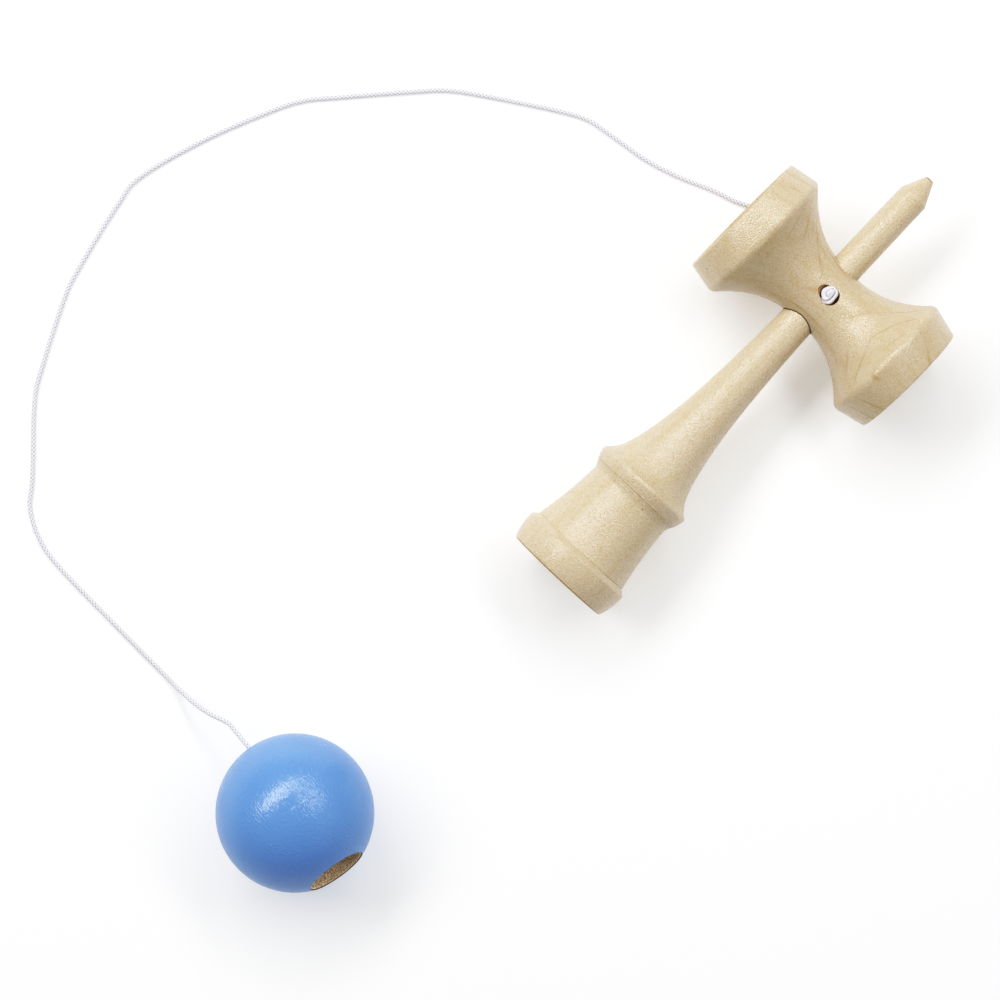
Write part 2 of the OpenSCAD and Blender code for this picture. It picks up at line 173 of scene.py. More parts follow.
def even_steps(curve, step):
    """The same curve, with its points one step apart."""
    along = np.concatenate([[0], np.cumsum(np.linalg.norm(np.diff(curve, axis=0), axis=1))])
    places = np.linspace(0, along[-1], int(round(along[-1] / step)) + 1)
    return np.column_stack([np.interp(places, along, curve[:, axis]) for axis in range(3)])


cord_line = even_steps(smooth_route(route), BRAID_STEP)

# %% [markdown]
# Eight strands make the braid: four wind one way and four the other, each over one and under the next.
# Unrolled, that is a lattice of two slanting families of bars. The height of the surface is whichever bar
# is on top, and the low places between the bars are kept as an attribute, so that the material can
# darken them. The tube is built along frames that turn no more than the line itself does.

# %% Height of the braid
STRANDS_EACH_WAY = 4
STRAND_PITCH = 1.2  # mm along the cord from one strand to the next
BRAID_DEPTH = 0.3  # share of the radius between the top of a strand and the bottom of a gap
STRAND_NARROWING = 2.05  # at 2 the strands would fill their lattice
ROUND_SHARE = 0.6  # share of the height from a strand's round top, the rest is its way over and under


def braid_height(along, turn):
    """Height of the braid's surface, 1 on top of a strand and 0 in a gap."""
    heights = []
    for way in (1, -1):
        bar = STRANDS_EACH_WAY * turn / (2 * math.pi) + way * along / STRAND_PITCH
        crossed = STRANDS_EACH_WAY * turn / (2 * math.pi) - way * along / STRAND_PITCH
        strand = np.round(bar)
        round_top = np.sqrt(np.maximum(0, 1 - (STRAND_NARROWING * (bar - strand)) ** 2))
        over = way * np.cos(math.pi * crossed) * np.where(strand % 2 == 0, 1, -1)
        heights.append(ROUND_SHARE * round_top + (1 - ROUND_SHARE) * (0.5 + 0.5 * over))
    return np.maximum(*heights)


print("Strands in the braid:", 2 * STRANDS_EACH_WAY)

# %% Braided tube
BRAID_SIDES = 24


def carried_frames(line):
    """Two directions across the line at each of its points, carried along without twist."""
    way = np.gradient(line, axis=0)
    way /= np.linalg.norm(way, axis=1)[:, None]
    side = np.cross(way[0], (1, 0, 0) if abs(way[0][0]) < 0.9 else (0, 1, 0))
    sides = []
    for direction in way:
        side = side - direction * side.dot(direction)
        side /= np.linalg.norm(side)
        sides.append(side)
    sides = np.array(sides)
    return sides, np.cross(way, sides)


def set_gaps(mesh, gaps):
    """Keeps how deep each point lies between the strands."""
    attribute = mesh.attributes.new("gap", "FLOAT", "POINT")
    attribute.data.foreach_set("value", gaps.astype(np.float32).ravel())


def braided(name, line, outer_radius=CORD_R, depth=BRAID_DEPTH):
    """A braided cord along a line of points in mm."""
    side, rise = carried_frames(line)
    along = np.concatenate([[0], np.cumsum(np.linalg.norm(np.diff(line, axis=0), axis=1))])
    turn = np.linspace(0, 2 * math.pi, BRAID_SIDES, endpoint=False)
    height = braid_height(along[:, None], turn[None, :])
    radius = outer_radius * (1 - depth * (1 - height))
    rings = line[:, None, :] + radius[..., None] * (
        np.cos(turn)[None, :, None] * side[:, None, :] + np.sin(turn)[None, :, None] * rise[:, None, :])
    count = len(line)
    step = np.arange(count - 1)[:, None] * BRAID_SIDES
    here = np.arange(BRAID_SIDES)[None, :]
    beside = (here + 1) % BRAID_SIDES
    ring = [step + here, step + beside]
    quads = np.stack([*ring, step + beside + BRAID_SIDES, step + here + BRAID_SIDES], -1)
    first_cap = list(range(BRAID_SIDES))[::-1]
    last_cap = [(count - 1) * BRAID_SIDES + k for k in range(BRAID_SIDES)]
    mesh = bpy.data.meshes.new(name)
    mesh.from_pydata(rings.reshape(-1, 3) * MM, [], [*quads.reshape(-1, 4).tolist(), first_cap, last_cap])
    mesh.shade_smooth()
    set_gaps(mesh, 1 - height)
    return new_object(name, mesh)


cord = braided("cord_braid", cord_line)
print("Braided cord:", len(cord.data.polygons), "faces")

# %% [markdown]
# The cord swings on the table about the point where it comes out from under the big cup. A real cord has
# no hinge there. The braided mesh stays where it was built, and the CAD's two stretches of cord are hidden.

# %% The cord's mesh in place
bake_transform(cord)
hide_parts("cord_lead", "cord_free")

# %% [markdown]
# A stopper knot holds the cord in a counterbored hole on top of the waist, and another holds the bead in
# the ball. Each is pulled so tight that its turns press into one soft lump: an outer turn, a smaller one
# inside it and the end in the middle. A tube along that line gives the turns, a fine voxel remesh joins
# them, and smoothing leaves grooves between them. Shade is then painted into the gap attribute, found from
# the nearest point of the line: in the grooves, where the surface faces sideways rather than up, and in
# fine lines between the threads along the turns.

# %% Line of a tight knot
KNOT_TURNS = 2.1
KNOT_TUBE_R = 0.76
KNOT_OVAL = 0.76  # width of the lump as a share of its length
KNOT_LUMPS = 0.06  # unevenness of the turns, as a share of their spread
KNOT_POINTS = 220
RISE_FROM, SPREAD_TO, CLOSE_FROM = -0.1, 0.12, 0.92  # shares where the line opens out and closes again
INNER_FROM, INNER_TO = 0.46, 0.62  # shares of the line where it moves in to the smaller turn
INNER_SHORTER, INNER_NARROWER = 0.42, 0.78  # as shares of the outer turn
FIRST_RISE = 0.4  # share of the height that the line has at its start


def eased(t, start, end):
    """A soft step from 0 at the start to 1 at the end."""
    share = np.clip((t - start) / (end - start), 0, 1)
    return share * share * (3 - 2 * share)


def knot_line(length, height):
    """The middle line of a tight knot that stands on the origin, along +X."""
    t = np.linspace(0, 1, KNOT_POINTS)
    angle = 2 * math.pi * KNOT_TURNS * t
    inwards = eased(t, INNER_FROM, INNER_TO)
    lumps = 1 + KNOT_LUMPS * np.sin(5 * angle + 1)
    spread = eased(t, 0, SPREAD_TO) * (1 - eased(t, CLOSE_FROM, 1)) * lumps
    climb = FIRST_RISE + (1 - FIRST_RISE) * t
    rise = KNOT_TUBE_R + (height - 2 * KNOT_TUBE_R) * eased(t, RISE_FROM, SPREAD_TO) * climb
    half_length = (length / 2 - KNOT_TUBE_R) * (1 - INNER_SHORTER * inwards)
    half_width = (KNOT_OVAL * length / 2 - KNOT_TUBE_R) * (1 - INNER_NARROWER * inwards)
    to_side = half_width * spread * np.cos(angle)
    to_end = half_length * spread * np.sin(angle)
    turns = np.column_stack([rise, to_side, to_end])
    return even_steps(turns, BRAID_STEP)


print("Turns of a knot:", KNOT_TURNS)

# %% Tying a knot
KNOT_VOXEL = 0.09
KNOT_SOFTENING = 4
KNOT_THREADS = 9  # lines of thread round each turn
GROOVE_GAP, GROOVE_FROM, GROOVE_FULL = 0.4, 0.7, 0.2  # by how much the sides of a groove face upwards
THREAD_GAP, THREAD_FROM, THREAD_FULL = 0.3, 0.2, 0.9  # on a wave round the turn


def placed_line(line, matrix):
    """A line in mm, moved by a matrix in metres."""
    return np.array([matrix @ Vector(point * MM) for point in line]) / MM


def straight_line(start, end, matrix):
    """A straight line along +X of a piece's frame, placed in the scene."""
    line = np.array([(start, 0, 0), (end, 0, 0)], float)
    return placed_line(even_steps(line, BRAID_STEP), matrix)


def apply_modifiers(piece):
    """Gives a piece the mesh that its modifiers make of it."""
    bpy.context.view_layer.update()
    whole = piece.evaluated_get(bpy.context.evaluated_depsgraph_get())
    mesh = bpy.data.meshes.new_from_object(whole)
    piece.modifiers.clear()
    piece.data = mesh


def add_knot(name, length, height, foot, matrix):
    """A tight knot on a piece's axis, its foot at a height along that axis."""
    line = placed_line(knot_line(length, height) + np.array([foot, 0, 0]), matrix)
    piece = braided(name, line, KNOT_TUBE_R, 0)
    join = piece.modifiers.new("join", "REMESH")
    join.mode = "VOXEL"
    join.voxel_size = KNOT_VOXEL * MM
    soften = piece.modifiers.new("soften", "SMOOTH")
    soften.iterations = KNOT_SOFTENING
    apply_modifiers(piece)
    piece.data.shade_smooth()
    points = np.array([vertex.co for vertex in piece.data.vertices]) / MM
    nearest = np.argmin(((points[:, None] - line[None]) ** 2).sum(2), 1)
    side, rise = carried_frames(line)
    out = points - line[nearest]
    turn = np.arctan2((out * rise[nearest]).sum(1), (out * side[nearest]).sum(1))
    # Painted shade: darker where the surface faces sideways, and on lines round each turn.
    upwards = (out / np.linalg.norm(out, axis=1)[:, None]) @ np.array(matrix.col[0][:3])
    grooves = GROOVE_GAP * (1 - eased(upwards, GROOVE_FULL, GROOVE_FROM))
    threads = THREAD_GAP * eased(np.cos(KNOT_THREADS * turn), THREAD_FROM, THREAD_FULL)
    set_gaps(piece.data, np.maximum(grooves, threads))
    return piece


print("Voxel of a knot in mm:", KNOT_VOXEL)

# %% Knots and the hidden runs of the cord
BALL_R = 23.5
KNOT_L, KNOT_H, KNOT_Z = 6.5, 3.8, 6.919  # length, height and foot on the axis of the cord's hole
END_KNOT_L, END_KNOT_H, END_KNOT_Z = 4.6, 3.0, -8.553  # the same on the ball's axis
waist_run = straight_line(EXIT_Z, KNOT_Z + CORD_R, in_waist)
bead_run = straight_line(-BALL_R, END_KNOT_Z + CORD_R, in_ball)
soft_runs = [
    (add_knot("stopper_knot_tied", KNOT_L, KNOT_H, KNOT_Z, in_waist), "stopper_knot", "handle"),
    (braided("cord_through_waist", waist_run), "cord_in_handle", "handle"),
    (add_knot("end_knot_tied", END_KNOT_L, END_KNOT_H, END_KNOT_Z, in_ball), "end_knot", "bead"),
    (braided("cord_through_bead", bead_run), "cord_in_ball", "bead"),
]
for piece, cad_node, body in soft_runs:
    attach(piece, body)
    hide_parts(cad_node)
    print(piece.name, "rides on", body)

# %% [markdown]
# The four wooden pieces come off a lathe, so each is one outline turned about an axis. Blender's Screw
# modifier would do that too. A function of our own keeps the choice of finish for each stretch of the
# outline, closes the ends on the axis and gives clean rings of quads. Outlines are pairs of radius and
# distance along the axis, in millimetres, and corners are rounded by true arcs.

# %% Rounded corners


def corner(before, at, after, radius, steps=8):
    """The arc that rounds the corner at a point between two others."""
    before, at, after = (np.array(point, float) for point in (before, at, after))
    to_before = (before - at) / np.linalg.norm(before - at)
    to_after = (after - at) / np.linalg.norm(after - at)
    half = math.acos(np.clip(to_before.dot(to_after), -1, 1)) / 2
    middle = at + (to_before + to_after) / np.linalg.norm(to_before + to_after) * radius / math.sin(half)
    start = at + to_before * radius / math.tan(half) - middle
    end = at + to_after * radius / math.tan(half) - middle
    sweep = math.acos(np.clip(start.dot(end) / radius**2, -1, 1))
    arc = [(start * math.sin((1 - k) * sweep) + end * math.sin(k * sweep)) / math.sin(sweep)
           for k in np.linspace(0, 1, steps + 1)]
    return [tuple(middle + point) for point in arc]


print("Points on the arc of a square corner:", len(corner((1, 0), (0, 0), (0, 1), 0.5)))

# %% The lathe
SEGMENTS = 192
ON_AXIS = 1e-6
SHARP_ANGLE = math.radians(40)


def finish_mesh(piece):
    """Smooth shading that keeps real edges crisp."""
    piece.data.shade_smooth()
    piece.data.set_sharp_from_angle(angle=SHARP_ANGLE)


def turned(name, outline, matrix, finish_of=lambda radius, along: 0, segments=SEGMENTS):
    """A piece turned about +X of its own frame. An outline that starts off the axis is a closed ring."""
    bm = bmesh.new()
    angles = [2 * math.pi * k / segments for k in range(segments)]
    rings = []
    for radius, along in outline:
        around = angles if radius > ON_AXIS else angles[:1]
        rings.append([bm.verts.new((along * MM, radius * MM * math.cos(a), radius * MM * math.sin(a)))
                      for a in around])
    spans = list(zip(range(len(rings)), range(1, len(rings))))
    if outline[0][0] > ON_AXIS:
        spans.append((len(rings) - 1, 0))
    for i, j in spans:
        finish = finish_of((outline[i][0] + outline[j][0]) / 2, (outline[i][1] + outline[j][1]) / 2)
        for k in range(segments):
            next_k = (k + 1) % segments
            quad = [rings[i][k % len(rings[i])], rings[i][next_k % len(rings[i])],
                    rings[j][next_k % len(rings[j])], rings[j][k % len(rings[j])]]
            face = bm.faces.new(list(dict.fromkeys(quad)))
            face.material_index = finish
    bmesh.ops.recalc_face_normals(bm, faces=bm.faces)
    mesh = bpy.data.meshes.new(name)
    bm.to_mesh(mesh)
    bm.free()
    piece = new_object(name, mesh)
    piece.matrix_world = matrix
    finish_mesh(piece)
    return piece


print("Lathe ready:", SEGMENTS, "segments")

# %% Drilling


def drilled(piece, *cutters):
    """Takes the cutters out of a piece, which keeps their finish on the walls of the holes."""
    for cutter in cutters:
        cut = piece.modifiers.new("hole", "BOOLEAN")
        cut.object = cutter
        cut.solver = "EXACT"
        cut.material_mode = "TRANSFER"
    apply_modifiers(piece)
    finish_mesh(piece)
    for cutter in cutters:
        bpy.data.objects.remove(cutter)


print("Drill ready: holes keep the finish of their cutter")

# %% [markdown]
# Colours are picked as sRGB values, as a paint chart or a photo editor shows them, and one function turns
# them into the linear values that a renderer works in. Another small function adds a node, sets its
# properties and fills its inputs with values or links.

# %% Colours and nodes


def linear(hex_colour):
    """A linear colour with full alpha from an sRGB hex value."""
    shares = [int(hex_colour[i:i + 2], 16) / 255 for i in (1, 3, 5)]
    return [c / 12.92 if c <= 0.04045 else ((c + 0.055) / 1.055) ** 2.4 for c in shares] + [1]


def add(tree, kind, inputs, out=0, **settings):
    """Adds a node with its settings, fills its inputs with values or links, and gives one output."""
    made = tree.nodes.new("ShaderNode" + kind)
    for name, value in settings.items():
        setattr(made, name, value)
    for name, value in inputs.items():
        if isinstance(value, bpy.types.NodeSocket):
            tree.links.new(value, made.inputs[name])
        else:
            made.inputs[name].default_value = value
    return made.outputs[out]


def new_finish(name, **sockets):
    """A material with a Principled shader whose constant sockets are set."""
    material = bpy.data.materials.new(name)
    material.use_nodes = True
    shader = material.node_tree.nodes["Principled BSDF"]
    for socket, value in sockets.items():
        shader.inputs[socket.replace("_", " ")].default_value = value
    return material, material.node_tree, shader


def dress(piece, *finishes):
    """Fills the material slots of a piece."""
    for finish in finishes:
        piece.data.materials.append(finish)


def per_mm(size):
    """The scale of a noise whose patches are about this many millimetres wide."""
    return 1 / (size * MM)


print("White in linear light:", linear("#ffffff"))

# %% [markdown]
# Beech, turned and sanded on the lathe and sealed with a satin clear lacquer. It is pale and even. Long
# warmer streaks run along the grain, the year rings show only as faint arcs where a flare cuts across
# them, pores make a fine speckle and a few dark specks are scattered about. End grain drinks more lacquer
# and turns browner, which draws the edges of the mouths and the tip. The lacquer has a faint orange peel,
# so its broad highlights look grainy. A solid pattern of rings round a pith beside the piece is cut by
# the turned shape as real wood is, which no unwrapped picture of wood would do.

# %% Lacquered beech


def beech(name, pith, half_ring, ring_strength, peel_depth, pale, warm, late, end_colour):
    """Lacquered beech with year rings round a pith. Sizes are in mm, from the piece's own origin."""
    material, tree, shader = new_finish(
        name, IOR=1.5, Specular_IOR_Level=0.1, Coat_Weight=0.52, Coat_Roughness=0.1, Coat_IOR=1.8)
    place = add(tree, "TexCoord", {}, out=3)
    facing = add(tree, "TexCoord", {}, out=1)
    # Streaks 2.4 mm wide and some 34 mm long.
    long_grain = add(tree, "VectorMath", {0: place, 1: (0.07, 1, 1)}, operation="MULTIPLY")
    streaks = add(tree, "TexNoise", {"Vector": long_grain, "Scale": per_mm(2.4), "Detail": 3.0})
    streak_share = add(
        tree, "MapRange", {"Value": streaks, "From Min": 0.4, "From Max": 0.72, "To Max": 0.5},
        interpolation_type="SMOOTHSTEP")
    ground = add(tree, "Mix", {0: streak_share, 6: linear(pale), 7: linear(warm)}, out=2, data_type="RGBA")
    # Year rings about the pith, bent a little and fading in and out, with a dark line every two half rings.
    slow_along = add(tree, "VectorMath", {0: place, 1: (0.35, 1, 1)}, operation="MULTIPLY")
    wander = add(tree, "TexNoise", {"Vector": slow_along, "Scale": per_mm(26), "Detail": 2.0}, out=1)
    bent = add(tree, "VectorMath", {0: wander, 1: (0.007,) * 3, 2: place}, operation="MULTIPLY_ADD")
    from_pith = add(tree, "VectorMath", {0: bent, 1: [value * MM for value in pith]}, operation="SUBTRACT")
    across_grain = add(tree, "VectorMath", {0: from_pith, 1: (0.12, 1, 1)}, operation="MULTIPLY")
    distance = add(tree, "VectorMath", {0: across_grain}, out=1, operation="LENGTH")
    rings = add(tree, "Math", {0: distance, 1: 1 / (half_ring * MM)}, operation="MULTIPLY")
    in_ring = add(tree, "Math", {0: rings, 1: 1.0}, operation="PINGPONG")
    late_line = add(tree, "MapRange", {"Value": in_ring, "From Min": 0.78, "From Max": 1.0},
                    interpolation_type="SMOOTHSTEP")
    fading = add(tree, "TexNoise", {"Vector": place, "Scale": per_mm(11), "Detail": 1.0})
    kept = add(
        tree, "MapRange", {"Value": fading, "From Min": 0.38, "From Max": 0.66, "To Max": ring_strength},
        interpolation_type="SMOOTHSTEP")
    ring_share = add(tree, "Math", {0: late_line, 1: kept}, operation="MULTIPLY")
    ringed = add(tree, "Mix", {0: ring_share, 6: ground, 7: linear(late)}, out=2, data_type="RGBA")
    # Pores: a speckle 0.5 mm long, drawn coarser than the real ones so that it shows.
    pore_place = add(tree, "VectorMath", {0: place, 1: (0.6, 1, 1)}, operation="MULTIPLY")
    pores = add(tree, "TexNoise", {"Vector": pore_place, "Scale": per_mm(0.32), "Detail": 1.0})
    pore_share = add(tree, "MapRange", {"Value": pores, "From Min": 0.42, "From Max": 0.72, "To Max": 0.5})
    pored = add(tree, "Mix", {0: pore_share, 6: ringed, 7: linear("#b18e56")}, out=2, data_type="RGBA")
    # End grain: browner where the surface faces along the grain.
    along_share = add(tree, "VectorMath", {0: facing, 1: (1, 0, 0)}, out=1, operation="DOT_PRODUCT")
    along_size = add(tree, "Math", {0: along_share}, operation="ABSOLUTE")
    end_share = add(
        tree, "MapRange", {"Value": along_size, "From Min": 0.8, "From Max": 1.0, "To Max": 0.75},
        interpolation_type="SMOOTHSTEP")
    ended = add(tree, "Mix", {0: end_share, 6: pored, 7: linear(end_colour)}, out=2, data_type="RGBA")
    # Specks: a dark dot of about half a millimetre every few centimetres.
    dots = add(tree, "TexVoronoi", {"Vector": place, "Scale": per_mm(9), "Randomness": 1.0})
    speck = add(tree, "MapRange", {"Value": dots, "From Min": 0.045, "From Max": 0.02, "To Max": 0.8})
    colour = add(tree, "Mix", {0: speck, 6: ended, 7: linear("#7d5a33")}, out=2, data_type="RGBA")
    tree.links.new(colour, shader.inputs["Base Color"])
    rough = add(tree, "MapRange", {"Value": pores, "To Min": 0.36, "To Max": 0.52})
    tree.links.new(rough, shader.inputs["Roughness"])
    # The lacquer's orange peel, drawn deeper than the real one so that it shows, and fine rings half a
    # millimetre wide that the turning tool leaves across the piece.
    peel = add(tree, "TexNoise", {"Vector": place, "Scale": per_mm(0.48), "Detail": 1.0})
    tool_place = add(tree, "VectorMath", {0: place, 1: (1, 0.02, 0.02)}, operation="MULTIPLY")
    tool_marks = add(tree, "TexNoise", {"Vector": tool_place, "Scale": per_mm(0.5), "Detail": 1.0})
    relief = add(tree, "Math", {0: tool_marks, 1: 0.3, 2: peel}, operation="MULTIPLY_ADD")
    bump = add(tree, "Bump", {"Height": relief, "Strength": 0.9, "Distance": peel_depth * MM})
    tree.links.new(bump, shader.inputs["Normal"])
    tree.links.new(bump, shader.inputs["Coat Normal"])
    return material


handle_wood = beech(
    "beech_lacquered_handle", pith=(0, 14, -70), half_ring=2.2, ring_strength=0.12, peel_depth=0.23,
    pale="#d4c6ae", warm="#ccba96", late="#b2976c", end_colour="#967850")
cross_wood = beech(
    "beech_lacquered_crosspiece", pith=(0, 9, -80), half_ring=2.0, ring_strength=0.5, peel_depth=0.17,
    pale="#cfc0a7", warm="#c6b290", late="#a98d64", end_colour="#967850")
edge_wood = beech(
    "beech_end_grain_edge", pith=(0, 14, -70), half_ring=2.2, ring_strength=0.3, peel_depth=0.19,
    pale="#a98e65", warm="#9c8057", late="#84663f", end_colour="#785932")
print("Nodes in the lacquered beech:", len(handle_wood.node_tree.nodes))

# %% [markdown]
# Bare beech in the drilled holes: no lacquer reached it, so it is matt, and the drill has torn its fibres
# to a rough speckle 0.4 to 0.5 mm wide, which is drawn a little coarse so that it shows. A paler copy
# paints light into the ball's hole, and a dark copy paints shade on the edge of that hole and round the
# joint of the handle. The bead is plain turned wood too.

# %% Bare wood


def bare_wood(name, light, dark, fibre_width, fibre_share):
    """Matt wood with torn fibres. The share is the fibres' width over their length."""
    material, tree, shader = new_finish(name, IOR=1.45, Roughness=0.72)
    place = add(tree, "TexCoord", {}, out=3)
    along_grain = add(tree, "VectorMath", {0: place, 1: (fibre_share, 1, 1)}, operation="MULTIPLY")
    lines = add(tree, "TexNoise", {"Vector": along_grain, "Scale": per_mm(fibre_width), "Detail": 3.0})
    share = add(tree, "MapRange", {"Value": lines, "From Min": 0.36, "From Max": 0.66},
                interpolation_type="SMOOTHSTEP")
    colour = add(tree, "Mix", {0: share, 6: linear(light), 7: linear(dark)}, out=2, data_type="RGBA")
    tree.links.new(colour, shader.inputs["Base Color"])
    bump = add(tree, "Bump", {"Height": lines, "Strength": 0.5, "Distance": 0.12 * MM}, invert=True)
    tree.links.new(bump, shader.inputs["Normal"])
    return material


bore_wood = bare_wood(
    "beech_bare_in_bore", light="#c2a270", dark="#8a6a44", fibre_width=0.5, fibre_share=0.4)
# Paler than bare beech is: painted light for the inside of the ball's hole.
ball_wood_painted_light = bare_wood(
    "beech_bare_painted_light_in_ball", light="#f8ead2", dark="#b29b7b", fibre_width=0.36, fibre_share=0.7)
# A dark copy: painted shade on the edge of the ball's hole and round the joint of the handle.
edge_painted_shade = bare_wood(
    "beech_bare_painted_edge_shade", light="#7a6244", dark="#4b3a28", fibre_width=0.4, fibre_share=0.7)
bead_wood = bare_wood(
    "beech_bare_bead", light="#cfae7c", dark="#a67f4f", fibre_width=0.5, fibre_share=0.1)
print("Nodes in the bare wood:", len(bore_wood.node_tree.nodes))

# %% [markdown]
# The ball is sprayed with a semi-gloss blue enamel. Sprayed enamel is an even colour under a smooth skin
# with a slight orange peel, and play leaves small pale scuffs on it. The skin is a coat of high index at
# less than half weight: in the middle of the ball it shines as a full coat of lacquer does, and at the
# edge, where such a coat would be a mirror, it shines less.

# %% Blue enamel


def enamel(name, colour, deep, scuff):
    """Sprayed enamel on wood, a little cloudy and with pale scuffs."""
    material, tree, shader = new_finish(
        name, IOR=1.45, Specular_IOR_Level=0.03, Coat_Weight=0.42, Coat_Roughness=0.16, Coat_IOR=1.9)
    place = add(tree, "TexCoord", {}, out=3)
    cloud = add(tree, "TexNoise", {"Vector": place, "Scale": per_mm(16), "Detail": 3.0})
    tint = add(tree, "Mix", {0: cloud, 6: linear(colour), 7: linear(deep)}, out=2, data_type="RGBA")
    # Scuffs: only the highest spots of a noise whose patches are 1.6 mm wide and 7 mm long.
    stretched = add(tree, "VectorMath", {0: place, 1: (1, 0.22, 0.6)}, operation="MULTIPLY")
    marks = add(tree, "TexNoise", {"Vector": stretched, "Scale": per_mm(1.6), "Detail": 2.0})
    worn = add(tree, "MapRange", {"Value": marks, "From Min": 0.745, "From Max": 0.79, "To Max": 0.5},
               interpolation_type="SMOOTHSTEP")
    skin = add(tree, "Mix", {0: worn, 6: tint, 7: linear(scuff)}, out=2, data_type="RGBA")
    tree.links.new(skin, shader.inputs["Base Color"])
    # Orange peel over the grain of the wood, which runs along the ball's axis: bumps 0.45 mm wide and
    # 1.5 mm long, drawn deeper than the real ones so that they show.
    grain_place = add(tree, "VectorMath", {0: place, 1: (0.3, 1, 1)}, operation="MULTIPLY")
    peel = add(tree, "TexNoise", {"Vector": grain_place, "Scale": per_mm(0.45), "Detail": 1.0})
    rough = add(tree, "MapRange", {"Value": cloud, "To Min": 0.3, "To Max": 0.4})
    tree.links.new(rough, shader.inputs["Roughness"])
    bump = add(tree, "Bump", {"Height": peel, "Strength": 1.0, "Distance": 0.15 * MM})
    tree.links.new(bump, shader.inputs["Normal"])
    tree.links.new(bump, shader.inputs["Coat Normal"])
    return material


ball_paint = enamel("enamel_blue_sprayed", colour="#779bd5", deep="#6d94cf", scuff="#a5c4ea")
print("Nodes in the enamel:", len(ball_paint.node_tree.nodes))

# %% [markdown]
# White polyester braid: each strand is a bundle of fine bright threads, and the gaps between the strands
# fall into shade. The gap attribute of the mesh carries that shade, so it stays with the braid's relief.

# %% Polyester braid


def polyester(name, thread, gap_shade):
    """Bright thread that falls into shade in the gaps of a braid."""
    material, tree, shader = new_finish(name, IOR=1.55, Roughness=0.6, Sheen_Weight=0.15)
    depth = add(tree, "Attribute", {}, out=2, attribute_name="gap")
    shade = add(tree, "MapRange", {"Value": depth, "From Min": 0.1, "From Max": 0.4},
                interpolation_type="SMOOTHSTEP")
    colour = add(tree, "Mix", {0: shade, 6: linear(thread), 7: linear(gap_shade)}, out=2, data_type="RGBA")
    tree.links.new(colour, shader.inputs["Base Color"])
    return material


cord_thread = polyester("polyester_braid_white", thread="#efeef2", gap_shade="#9d9aae")
for piece in [cord] + [row[0] for row in soft_runs]:
    dress(piece, cord_thread)
print("Cord pieces dressed:", 1 + len(soft_runs))

# %% [markdown]
# The cups are hollowed to the ball: each dish is part of a sphere half a millimetre larger in radius than
# the ball, so the ball sits in it without rocking. A narrow flat lip runs round each dish.

# %% Dishes of the cups
DISH_ROOM = 0.5
DISH_R = BALL_R + DISH_ROOM
LIP_W = 1.4
LIP_ROUND = 0.7
INNER_ROUND = 0.25


def dish_points(mouth_r, steps=26):
    """Radius and depth below the mouth, from the middle of the dish to its edge on the lip."""
    edge = mouth_r - LIP_W
    out = math.sqrt(DISH_R**2 - edge**2)
    sweep = math.asin(edge / DISH_R)
    dish = [(DISH_R * math.sin(sweep * k / steps), DISH_R * math.cos(sweep * k / steps) - out)
            for k in range(steps + 1)]
    return dish[:-1] + corner(dish[-2], dish[-1], (mouth_r, 0), INNER_ROUND, 4)


print("Radius of the dishes in mm:", DISH_R)

# %% [markdown]
# The handle is one piece from the base cup to the spike. Its outline goes over the barrel of the rim, a
# sloping step, a hollow neck, a collar with two crisp edges, a grip that flares like a trumpet and a
# straight spike with a blunt point. Each stretch is the curve a turner would follow: an arc, a power or an
# exponential. Fine scribed grooves mark the foot of the step, the cove under the collar and its lower edge.

# %% Sizes of the handle
HANDLE_L = 160.9
BASE_MOUTH_R, BASE_RIM_R, BASE_NECK_R, BASE_WAIST_R = 16.9, 18.4, 16.7, 14.05
CREST_AT, RIM_L, STEP_L = 7.3, 8.6, 1.7
COLLAR_FOOT, COLLAR_ROUND, COLLAR_HOLLOW_L = 31.3, 0.8, 2.1
COLLAR_LOW, COLLAR_CREST, COLLAR_TOP = (15.55, 34.4), (16.3, 37.3), (15.95, 38.1)
GRIP_AT, GRIP_R, GRIP_FLARE_L = 41.8, 12.4, 19
CROSS_R, SPIKE_R, TIP_L, TIP_R = 5.025, 4.8, 7.4, 1.35
TAPER_END = CROSS_AT + WAIST_R + 2
RIM_ROUND, COLLAR_TOP_ROUND, SPIKE_ROUND, TIP_ROUND = 0.8, 0.2, SPIKE_R / 3, TIP_R / 1.5
STEP_GROOVE, COLLAR_GROOVE = 0.12, 0.14  # depths of the scribed grooves
print("Handle in mm:", HANDLE_L, "long, spike", 2 * SPIKE_R, "across")

# %% Radius of the grip


def taper_r(s):
    """Radius of the taper that wedges into the crosspiece."""
    return SPIKE_R + (CROSS_R - SPIKE_R) * (TAPER_END - s) / (TAPER_END - CROSS_AT)


def flared_r(s):
    """Radius of the taper with the trumpet's flare added."""
    return taper_r(s) + (GRIP_R - taper_r(GRIP_AT)) * math.exp(-(s - GRIP_AT) / GRIP_FLARE_L)


def grip_r(s):
    """Radius of the grip at a distance from the base cup's mouth."""
    if s >= TAPER_END:
        return SPIKE_R
    hollow = COLLAR_TOP[0] - flared_r(COLLAR_TOP[1])
    return flared_r(s) + hollow * math.exp(-(s - COLLAR_TOP[1]) / COLLAR_HOLLOW_L)


print("Grip in the crosspiece in mm:", round(2 * grip_r(CROSS_AT), 2), "across")

